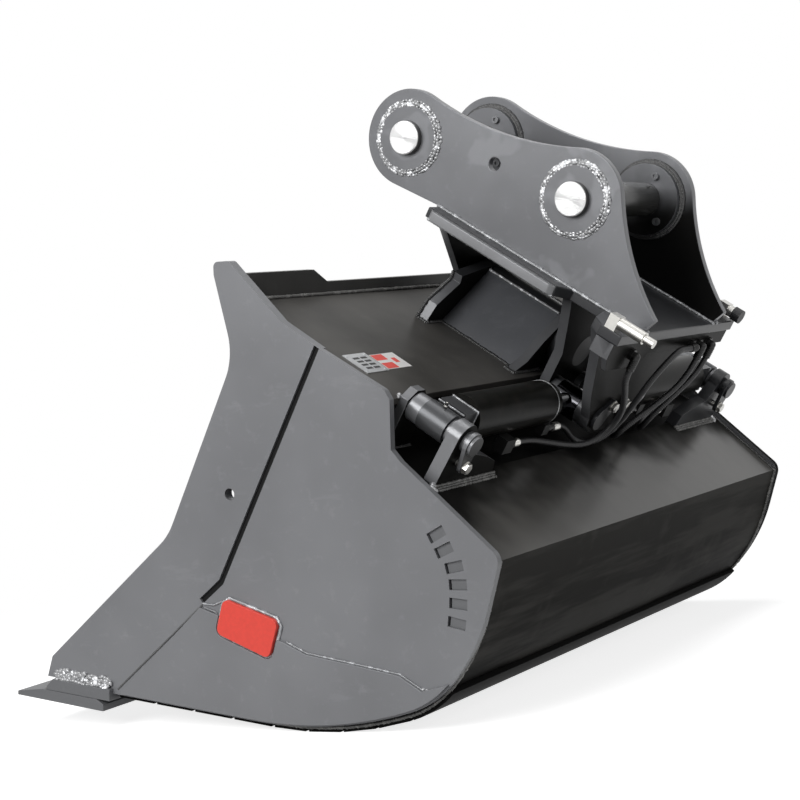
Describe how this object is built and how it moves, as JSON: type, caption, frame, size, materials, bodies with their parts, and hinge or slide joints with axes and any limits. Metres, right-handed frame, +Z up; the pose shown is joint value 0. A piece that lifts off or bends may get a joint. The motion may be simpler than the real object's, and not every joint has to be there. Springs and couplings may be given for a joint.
{
  "type": "tilt ditching bucket",
  "caption": "Wide smooth-lipped ditching bucket whose top-mounted two-pin head tilts sideways on a long pivot, driven by two hydraulic cylinders lying across the rear.",
  "frame": {"origin": "middle of the footprint box, on the ground the bucket stands on", "axes": "+X across the bucket to its near side, +Y from the blade to the rear, +Z up"},
  "size_m": [1.53, 1.5324, 1.3886],
  "materials": {
    "side_steel": "satin grey paint over plate",
    "badge_paint": "gloss red paint",
    "shell_steel": "dark satin grey paint",
    "edge_steel": "grey paint over hardened plate",
    "label_metal": "brushed aluminium",
    "label_film": "vinyl film",
    "head_steel": "satin grey paint over plate",
    "pivot_steel": "dark satin grey paint",
    "bright_steel": "machined steel",
    "bush_bronze": "machined bronze",
    "cylinder_paint": "black satin paint",
    "rod_chrome": "hard chrome",
    "fitting_zinc": "zinc plated steel",
    "hose_rubber": "black rubber hose",
    "cap_plastic": "black plastic"
  },
  "bodies": {
    "bucket": {"side_plate_near": "side_steel", "side_plate_far": "side_steel", "side_cutter_near": "side_steel", "side_cutter_far": "side_steel", "heel_wear_plates": "side_steel", "badge_plates": "badge_paint", "belly_shell": "shell_steel", "slope_plate": "shell_steel", "recess_floor": "shell_steel", "recess_wall": "shell_steel", "top_lip": "shell_steel", "top_plate": "shell_steel", "wear_strips": "shell_steel", "base_edge": "edge_steel", "cutting_blade": "edge_steel", "data_plate": "label_metal", "data_plate_rivets": "label_metal", "blank_decal": "label_film", "pivot_tube": "pivot_steel", "pivot_side_plates": "pivot_steel", "pivot_gussets": "pivot_steel", "cylinder_front_ears": "pivot_steel", "cylinder_rear_ears": "pivot_steel", "pivot_bushes": "bush_bronze", "cap_pins": "bright_steel", "cap_pin_bolts": "bright_steel", "pivot_washers": "bright_steel", "hose_near": "hose_rubber", "hose_cross": "hose_rubber", "hose_far": "hose_rubber", "hose_inner": "hose_rubber"},
    "tilt_head": {"ear_near": "head_steel", "ear_far": "head_steel", "front_pin_bosses": "head_steel", "rear_pin_bosses": "head_steel", "head_base_plate": "head_steel", "stop_bars": "head_steel", "front_pivot_lug": "head_steel", "front_clevis_plate": "head_steel", "rear_clevis_plate": "head_steel", "rear_box": "head_steel", "tilt_pin_cap": "head_steel", "front_pin": "bright_steel", "rear_pin": "bright_steel", "tilt_pin": "bright_steel", "rod_pins": "bright_steel", "rod_pin_bolts": "bright_steel", "head_screws": "bright_steel", "hose_elbows": "fitting_zinc", "coupler_near": "fitting_zinc", "coupler_far": "fitting_zinc", "dust_cap": "cap_plastic"},
    "barrel_near_body": {"barrel_near": "cylinder_paint", "gland_near": "cylinder_paint", "ports_near": "fitting_zinc"},
    "barrel_far_body": {"barrel_far": "cylinder_paint", "gland_far": "cylinder_paint", "ports_far": "fitting_zinc"},
    "rod_near_body": {"rod_near": "rod_chrome"},
    "rod_far_body": {"rod_far": "rod_chrome"}
  },
  "joints": [
    {"name": "head_tilt", "type": "hinge", "parent": "bucket", "child": "tilt_head", "pos_m": [0, 0.29213, 0.83655], "axis": [0, 0.8086, -0.5884], "range_deg": [-40, 40], "deforming": ["hose_near", "hose_cross", "hose_far", "hose_inner"]},
    {"name": "barrel_near_swing", "type": "hinge", "parent": "bucket", "child": "barrel_near_body", "pos_m": [0.66, 0.43111, 0.63153], "axis": [0, 0.8086, -0.5884], "range_deg": [-4.5, 4.5]},
    {"name": "barrel_far_swing", "type": "hinge", "parent": "bucket", "child": "barrel_far_body", "pos_m": [-0.66, 0.43111, 0.63153], "axis": [0, 0.8086, -0.5884], "range_deg": [-4.5, 4.5]},
    {"name": "rod_near_swing", "type": "hinge", "parent": "tilt_head", "child": "rod_near_body", "pos_m": [0.065, 0.42316, 0.62062], "axis": [0, 0.8086, -0.5884], "range_deg": [-45, 45]},
    {"name": "rod_far_swing", "type": "hinge", "parent": "tilt_head", "child": "rod_far_body", "pos_m": [-0.065, 0.42316, 0.62062], "axis": [0, 0.8086, -0.5884], "range_deg": [-45, 45]}
  ],
  "couplings": [
    {"joint": "barrel_near_swing", "follows": "head_tilt", "ratio": -0.0982},
    {"joint": "barrel_far_swing", "follows": "head_tilt", "ratio": -0.0982},
    {"joint": "rod_near_swing", "follows": "head_tilt", "ratio": -1.0982},
    {"joint": "rod_far_swing", "follows": "head_tilt", "ratio": -1.0982}
  ]
}
